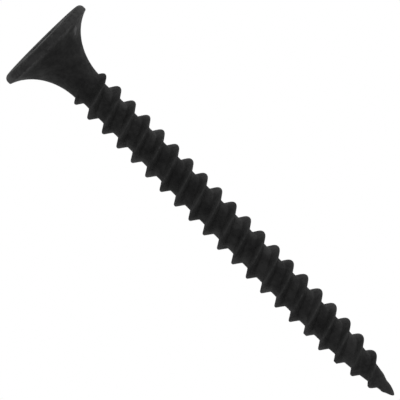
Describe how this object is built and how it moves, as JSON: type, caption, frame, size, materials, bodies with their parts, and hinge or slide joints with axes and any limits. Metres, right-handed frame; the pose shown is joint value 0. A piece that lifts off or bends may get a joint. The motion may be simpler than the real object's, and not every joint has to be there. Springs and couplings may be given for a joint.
{
  "type": "drywall screw",
  "caption": "Black phosphated bugle-head screw with a cross recess, a fine right-handed thread and a needle point, for board or wood.",
  "frame": {"origin": "the middle of the head's flat face, which lies flush with the surface of the board that the screw is driven into", "axes": "+Z along the screw's axis, out of the board towards the driver, so the point is at -Z; +X and +Y along two neighbouring wings of the recess"},
  "size_m": [0.0086, 0.0086, 0.04],
  "materials": {
    "black_phosphate": "fine-grained black phosphate conversion coat on hardened steel, matt with a slight oily sheen"
  },
  "bodies": {
    "root": {"screw": "black_phosphate"}
  },
  "joints": []
}
